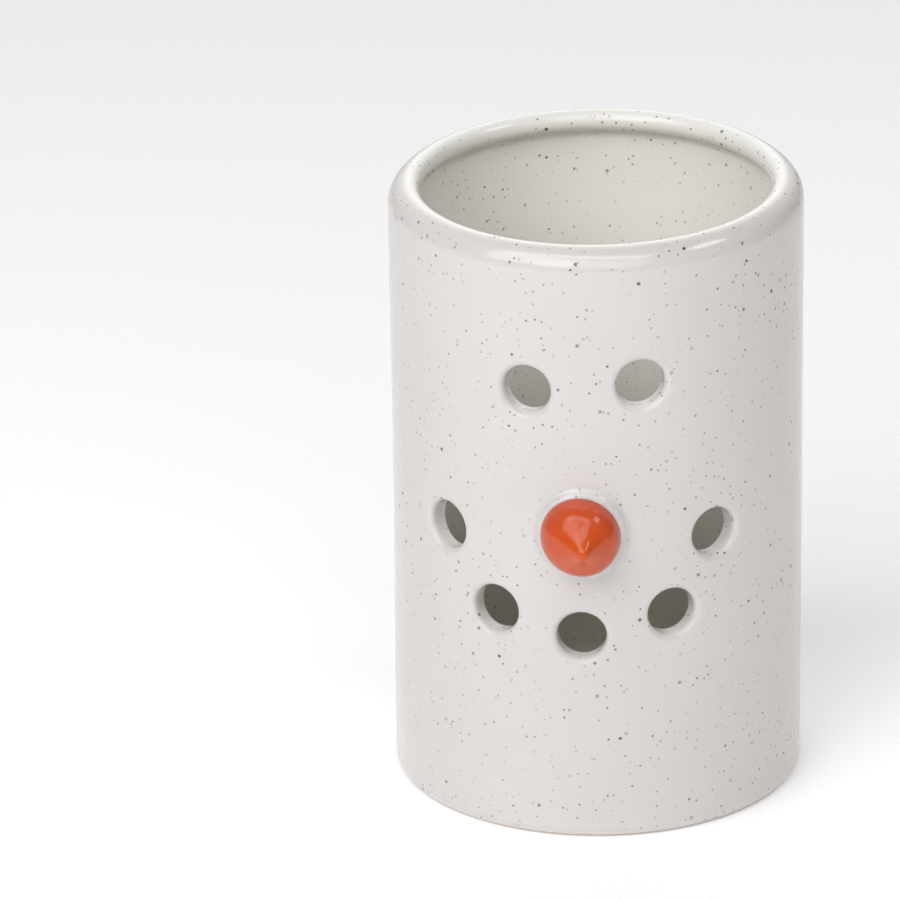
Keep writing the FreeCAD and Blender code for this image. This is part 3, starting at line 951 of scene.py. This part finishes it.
# %% Drawn aluminium
def drawn_aluminium():
    material, tree, surface = new_material("drawn_aluminium_foil")
    surface.inputs["Metallic"].default_value = 1.0
    surface.inputs["Base Color"].default_value = colour("#D9DADC")
    place = add(tree, "ShaderNodeTexCoord").outputs["Object"]
    # The lines are 0.2 mm apart round the cup and 8 mm long, as the die left them.
    stretched = reckon_vector(
        tree, "MULTIPLY", place, (1 / (0.2 * MM), 1 / (0.2 * MM), 1 / (8 * MM))
    )
    lines = add(tree, "ShaderNodeTexNoise", {"Vector": stretched.outputs[0], "Scale": 1.0})
    rough = map_range(tree, lines.outputs[0], 0.3, 0.7, 0.22, 0.4)
    tree.links.new(rough.outputs[0], surface.inputs["Roughness"])
    add_bump(tree, surface, lines.outputs[0], 0.25, 0.05 * MM)
    return material


ALUMINIUM = drawn_aluminium()

# %% Cup outline
cup_low, cup_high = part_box("tealight_cup")
SHEET = 0.3 * MM
LIP_OUT = 0.5 * MM
CUP = cup_high.x - LIP_OUT
CUP_CORNER = 1.2 * MM
PRESSED_RING = 11.5 * MM


def cup_outline():
    base, top = cup_low.z, cup_high.z
    ring_in, ring_out = PRESSED_RING - 0.8 * MM, PRESSED_RING + 0.8 * MM
    lift = 0.25 * MM
    below = [(0.0, base + lift), (ring_in, base + lift), (ring_out, base)]
    below += steps(below[-1], (CUP - CUP_CORNER, base), 4)
    below += arc((CUP - CUP_CORNER, base + CUP_CORNER), CUP_CORNER, -90, 0, 8)
    below += steps(below[-1], (CUP, top - 1.2 * MM), 12)
    # The rolled edge: out under the lip, round it, over the top and back to the inner wall.
    below += [(CUP, top - 0.9 * MM)]
    below += arc((CUP, top - 0.45 * MM), 0.45 * MM, -80, 150, 14)
    inner = CUP - SHEET
    above = [(inner, top - 0.6 * MM)]
    above += steps(above[-1], (inner, base + CUP_CORNER), 12)
    above += arc((CUP - CUP_CORNER, base + CUP_CORNER), CUP_CORNER - SHEET, 0, -90, 6)
    above += steps(above[-1], (ring_out, base + SHEET), 4)
    above += [(ring_in, base + lift + SHEET), (0.0, base + lift + SHEET)]
    return below + above


cup = turn_on_lathe(
    "tealight_aluminium_cup",
    cup_outline(),
    ALUMINIUM,
    480,
    flutes=60,
    depth=0.22 * MM,
    bottom=cup_low.z + CUP_CORNER,
    top=cup_high.z - 1.2 * MM,
)
face_outwards(cup)
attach(cup, "tealight")
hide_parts("tealight_cup")

# %% [markdown]
# ## The wax
# Paraffin wax is poured into the cup round the wick. It creeps up the metal and the wick as it
# sets and sinks a little in between, so its top is a shallow dish with a raised edge at each. It
# is milky and lets some light in, and its skin is satin with a faint crystal mottle.

# %% Paraffin wax
def paraffin_wax():
    material, tree, surface = new_material("paraffin_candle_wax")
    surface.inputs["Roughness"].default_value = 0.38
    surface.inputs["IOR"].default_value = 1.44
    surface.inputs["Subsurface Weight"].default_value = 0.35
    surface.inputs["Subsurface Radius"].default_value = (1.6 * MM, 1.2 * MM, 0.8 * MM)
    surface.inputs["Subsurface Scale"].default_value = 1.0
    place = add(tree, "ShaderNodeTexCoord").outputs["Object"]
    mottle = wave_noise(tree, place, 3 * MM, 4.0)
    shade = mix_colours(tree, mottle.outputs[0], colour("#F5F2EA"), colour("#EAE5D8"))
    tree.links.new(shade.outputs[2], surface.inputs["Base Color"])
    add_bump(tree, surface, mottle.outputs[0], 0.4, 0.15 * MM)
    return material


# %% Wax outline
wax_low, wax_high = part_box("tealight_wax")
WAX = CUP - SHEET - 0.25 * MM
WICK_HOLE = 0.75 * MM
CREEP = 0.7 * MM


def wax_outline():
    line = [(0.0, wax_low.z), (WAX - 1.0 * MM, wax_low.z)]
    line += arc((WAX - 1.0 * MM, wax_low.z + 1.0 * MM), 1.0 * MM, -90, 0, 5)
    line += steps(line[-1], (WAX, wax_high.z), 6)
    for k in range(1, 41):
        r = WAX + (WICK_HOLE - WAX) * k / 40
        at_wall = math.exp(-(WAX - r) / (0.9 * MM))
        at_wick = math.exp(-(r - WICK_HOLE) / (0.7 * MM))
        line.append((r, wax_high.z - CREEP * (1 - at_wall) * (1 - 0.8 * at_wick)))
    line.append((0.0, line[-1][1]))
    return line


wax = turn_on_lathe("tealight_paraffin_wax", wax_outline(), paraffin_wax(), 96)
face_outwards(wax)
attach(wax, "tealight")
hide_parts("tealight_wax")

# %% [markdown]
# ## The wick
# The wick is a braid of cotton yarns, dipped in wax so that it stands. Three yarns that wind round
# one another read as a braid at this size. The tree draws one yarn along a helix, copies it round
# the axis, and turns the copies into a mesh.

# %% Wick tree
def wick_tree():
    tree = bpy.data.node_groups.new("braided_wick", "GeometryNodeTree")
    for name, kind in (
        ("Height", "NodeSocketFloat"),
        ("Winding Radius", "NodeSocketFloat"),
        ("Yarn Radius", "NodeSocketFloat"),
        ("Turns", "NodeSocketFloat"),
        ("Yarns", "NodeSocketInt"),
        ("Foot", "NodeSocketFloat"),
        ("Finish", "NodeSocketMaterial"),
    ):
        tree.interface.new_socket(name, in_out="INPUT", socket_type=kind)
    tree.interface.new_socket("Mesh", in_out="OUTPUT", socket_type="NodeSocketGeometry")
    given = add(tree, "NodeGroupInput").outputs
    helix = add(
        tree,
        "GeometryNodeCurveSpiral",
        {
            "Resolution": 20,
            "Rotations": given["Turns"],
            "Start Radius": given["Winding Radius"],
            "End Radius": given["Winding Radius"],
            "Height": given["Height"],
        },
    )
    section = add(
        tree,
        "GeometryNodeCurvePrimitiveCircle",
        {"Resolution": 10, "Radius": given["Yarn Radius"]},
    )
    yarn = add(
        tree,
        "GeometryNodeCurveToMesh",
        {"Curve": helix.outputs[0], "Profile Curve": section.outputs[0], "Fill Caps": True},
    )
    # One copy for each yarn, all on the axis, each turned by its share of a circle.
    spots = add(tree, "GeometryNodePoints", {"Count": given["Yarns"]})
    number = add(tree, "GeometryNodeInputIndex")
    share = reckon(tree, "DIVIDE", number.outputs[0], given["Yarns"])
    turn = reckon(tree, "MULTIPLY", share.outputs[0], math.tau)
    spin = add(tree, "ShaderNodeCombineXYZ", {2: turn.outputs[0]})
    copies = add(
        tree,
        "GeometryNodeInstanceOnPoints",
        {"Points": spots.outputs[0], "Instance": yarn.outputs[0], "Rotation": spin.outputs[0]},
    )
    real = add(tree, "GeometryNodeRealizeInstances", {0: copies.outputs[0]})
    lift = add(tree, "ShaderNodeCombineXYZ", {2: given["Foot"]})
    raised = add(
        tree,
        "GeometryNodeSetPosition",
        {"Geometry": real.outputs[0], "Offset": lift.outputs[0]},
    )
    painted = add(
        tree,
        "GeometryNodeSetMaterial",
        {"Geometry": raised.outputs[0], "Material": given["Finish"]},
    )
    add(tree, "NodeGroupOutput", {0: painted.outputs[0]})
    return tree


# %% Waxed cotton
def waxed_cotton():
    material, tree, surface = new_material("waxed_cotton_braid")
    surface.inputs["Roughness"].default_value = 0.6
    surface.inputs["Sheen Weight"].default_value = 0.2
    place = add(tree, "ShaderNodeTexCoord").outputs["Object"]
    fibres = wave_noise(tree, place, 0.15 * MM, 2.0)
    shade = mix_colours(tree, fibres.outputs[0], colour("#F3EEDF"), colour("#D9D0B9"))
    tree.links.new(shade.outputs[2], surface.inputs["Base Color"])
    add_bump(tree, surface, fibres.outputs[0], 0.5, 0.05 * MM)
    return material


# %% Braid the wick
wick_low, wick_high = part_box("tealight_wick")
YARN = 0.38 * MM
wick = grow(
    "tealight_braided_wick",
    wick_tree(),
    Height=wick_high.z - wick_low.z - 2 * YARN,
    Winding_Radius=wick_high.x - YARN - 0.02 * MM,
    Yarn_Radius=YARN,
    Turns=4.5,
    Yarns=3,
    Foot=wick_low.z + YARN,
    Finish=waxed_cotton(),
)
face_outwards(wick)
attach(wick, "tealight")
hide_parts("tealight_wick")

# %% [markdown]
# ## The wick's foot
# A stamped disc of tinned steel with a crimped neck holds the wick up. It is buried in the wax, and
# its shape is right as it is, so it only gets its metal: greyer and duller than the cup.

# %% Tinned steel
def tinned_steel():
    material, tree, surface = new_material("tinned_sheet_steel")
    surface.inputs["Metallic"].default_value = 1.0
    surface.inputs["Base Color"].default_value = colour("#B4B5B8")
    place = add(tree, "ShaderNodeTexCoord").outputs["Object"]
    spangle = wave_noise(tree, place, 1.2 * MM, 2.0)
    rough = map_range(tree, spangle.outputs[0], 0.3, 0.7, 0.3, 0.5)
    tree.links.new(rough.outputs[0], surface.inputs["Roughness"])
    return material


STEEL = tinned_steel()
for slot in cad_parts["wick_sustainer"].material_slots:
    slot.material = STEEL
print("sustainer slots:", len(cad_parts["wick_sustainer"].material_slots))

# %% [markdown]
# ## Camera
# A long lens, from a little above and a few degrees round to the right of the face. It looks past
# the lantern on its left, so the lantern stands to the right of the middle.

# %% Camera
VIEW_AZIMUTH = math.radians(4.4)
VIEW_ELEVATION = math.radians(22.23)
VIEW_DISTANCE = 1.573
LENS = 286.9
SENSOR = 36.0
AIM_RIGHT = 0.1632
AIM_DOWN = 0.0186
ROLL = math.radians(0.24)


def set_camera():
    data = bpy.data.cameras.new("camera")
    data.lens, data.sensor_width = LENS, SENSOR
    data.clip_start, data.clip_end = 0.1, 50
    camera = bpy.data.objects.new("camera", data)
    bpy.context.scene.collection.objects.link(camera)
    centre = Vector((0, 0, HEIGHT / 2))
    back = Vector(
        (
            math.sin(VIEW_AZIMUTH) * math.cos(VIEW_ELEVATION),
            -math.cos(VIEW_AZIMUTH) * math.cos(VIEW_ELEVATION),
            math.sin(VIEW_ELEVATION),
        )
    )
    camera.location = centre + back * VIEW_DISTANCE
    aim = (-back).to_track_quat("-Z", "Y")
    across = math.atan(AIM_RIGHT * SENSOR / LENS)
    down = math.atan(AIM_DOWN * SENSOR / LENS)
    aim = aim @ Quaternion((0, 1, 0), across) @ Quaternion((1, 0, 0), down)
    aim = aim @ Quaternion((0, 0, 1), -ROLL)
    camera.rotation_mode = "QUATERNION"
    camera.rotation_quaternion = aim
    bpy.context.scene.camera = camera


set_camera()

# %% [markdown]
# ## Stage and light
# A plain pale floor and soft boxes. Two broad ones in front and on the left shape the cylinder from
# light to dark. A long narrow one overhead gives the white strokes on the rim, on the lower lips of
# the holes and over the nose, and a small one on the right adds the second stroke.

# %% Floor
def pale_floor():
    material, tree, surface = new_material("pale_matt_floor")
    surface.inputs["Base Color"].default_value = colour("#FFFFFF")
    surface.inputs["Roughness"].default_value = 0.9
    # A little light of its own keeps the floor white where the boxes don't reach.
    surface.inputs["Emission Color"].default_value = colour("#FFFFFF")
    surface.inputs["Emission Strength"].default_value = 0.16
    floor = new_object(
        "floor", [(-4, -4, 0), (4, -4, 0), (4, 4, 0), (-4, 4, 0)], faces=[(0, 1, 2, 3)]
    )
    floor.data.materials.append(material)


pale_floor()


# %% Lights
def soft_box(name, azimuth, elevation, distance, width, length, power, tint):
    """A rectangular lamp aimed at the lantern. Its azimuth is measured as the camera's is."""
    a, e = math.radians(azimuth), math.radians(elevation)
    data = bpy.data.lights.new(name, "AREA")
    data.shape = "RECTANGLE"
    data.size, data.size_y = width, length
    data.energy = power
    data.color = colour(tint)[:3]
    lamp = bpy.data.objects.new(name, data)
    bpy.context.scene.collection.objects.link(lamp)
    place = Vector((math.sin(a) * math.cos(e), -math.cos(a) * math.cos(e), math.sin(e)))
    lamp.location = Vector((0, 0, HEIGHT / 2)) + place * distance
    lamp.rotation_mode = "QUATERNION"
    lamp.rotation_quaternion = place.to_track_quat("Z", "Y")


soft_box("overhead_strip", -12, 66, 1.5, 1.6, 0.42, 6.2, "#FFFFFF")
soft_box("front_box", 0, 35, 2.0, 2.0, 1.2, 12.5, "#FFFFFF")
soft_box("front_left_box", -35, 40, 2.0, 1.6, 1.2, 15.2, "#FFFFFF")
soft_box("right_box", 84, 50, 1.6, 0.5, 0.35, 2.6, "#FFFFFF")

# %% [markdown]
# The room itself is light too. A white wall behind the lantern is what the flat top of the rim
# mirrors, and it is also what lights the back. Each part of the room is a soft round patch on the
# sky: a dot product with the patch's direction, raised to a power.


# %% Room
def sky_patch(tree, azimuth, elevation, strength):
    a, e = math.radians(azimuth), math.radians(elevation)
    towards = (math.sin(a) * math.cos(e), -math.cos(a) * math.cos(e), math.sin(e))
    where = add(tree, "ShaderNodeTexCoord").outputs["Generated"]
    near = reckon_vector(tree, "DOT_PRODUCT", where, towards)
    front = reckon(tree, "MAXIMUM", near.outputs["Value"], 0.0)
    soft = reckon(tree, "POWER", front.outputs[0], 6.0)
    return reckon(tree, "MULTIPLY", soft.outputs[0], strength).outputs[0]


def room_light():
    world = bpy.data.worlds.new("pale_room")
    bpy.context.scene.world = world
    world.use_nodes = True
    tree = world.node_tree
    back_wall = sky_patch(tree, 180, 28, 1.7)
    left_corner = sky_patch(tree, -135, 25, 0.4)
    patches = reckon(tree, "ADD", back_wall, left_corner)
    background = tree.nodes["Background"]
    background.inputs["Color"].default_value = colour("#FFFFFF")
    tree.links.new(patches.outputs[0], background.inputs["Strength"])


room_light()
bpy.context.scene.view_settings.view_transform = "Standard"
